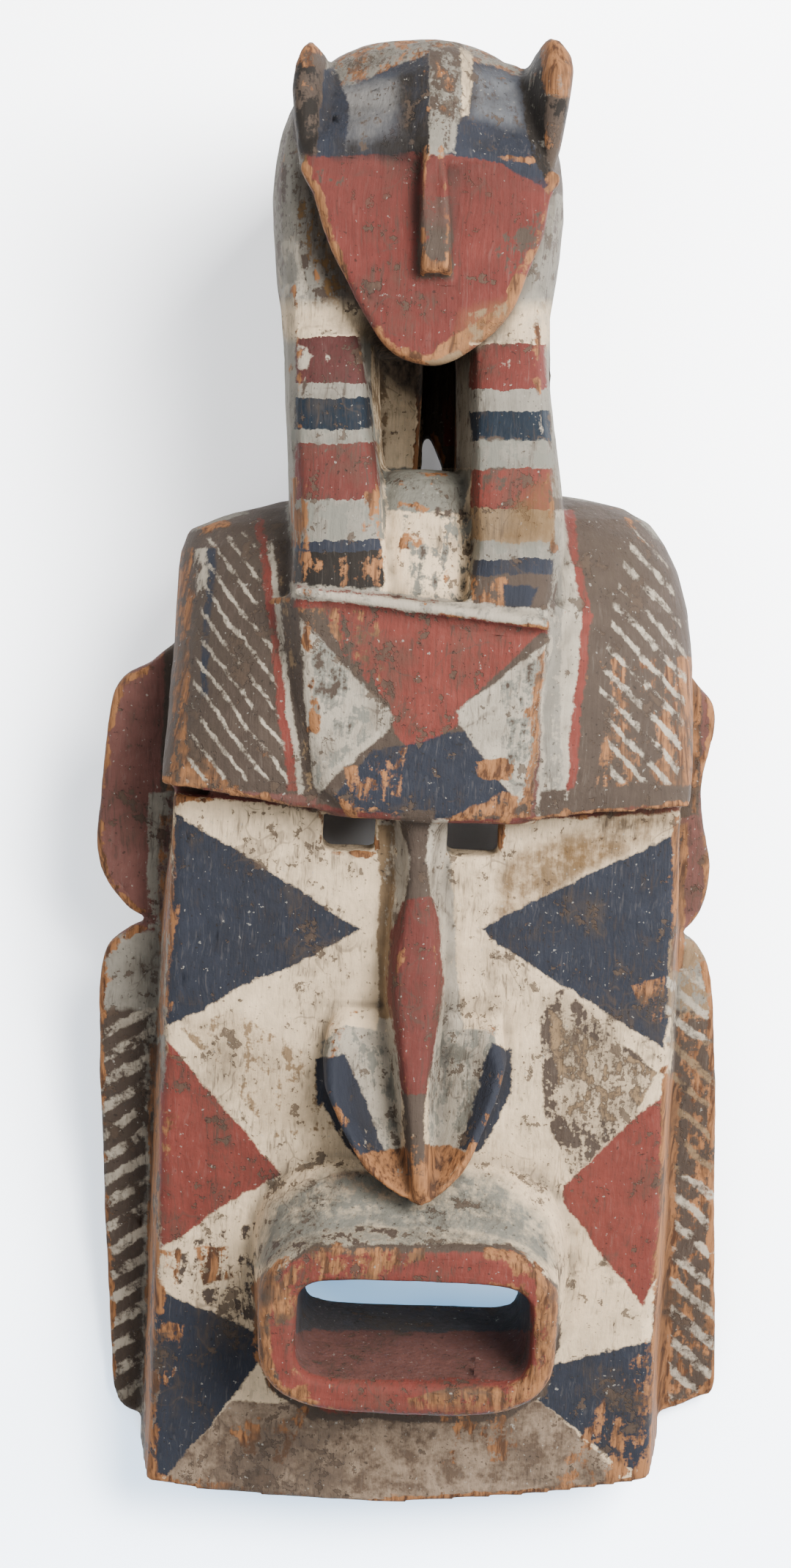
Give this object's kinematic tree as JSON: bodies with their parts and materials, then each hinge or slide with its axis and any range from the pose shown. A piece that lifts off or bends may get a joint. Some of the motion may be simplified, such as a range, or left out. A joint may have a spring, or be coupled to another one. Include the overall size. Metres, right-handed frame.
{
  "type": "carved face mask",
  "caption": "Carved and painted wooden face mask with an animal on its crown, lying face up on its flat back rim.",
  "frame": {"origin": "middle of the base of the whole mask, on the plane of the flat rear rim", "axes": "+X across the face to its left-hand side as looked at from the front, +Y from the chin to the crest, +Z out of the rear rim, towards whoever faces the mask"},
  "size_m": [0.336, 0.74, 0.217],
  "materials": {
    "painted_wood": "worn matt earth paint over bare wood"
  },
  "bodies": {
    "root": {"mask": "painted_wood"}
  },
  "joints": []
}
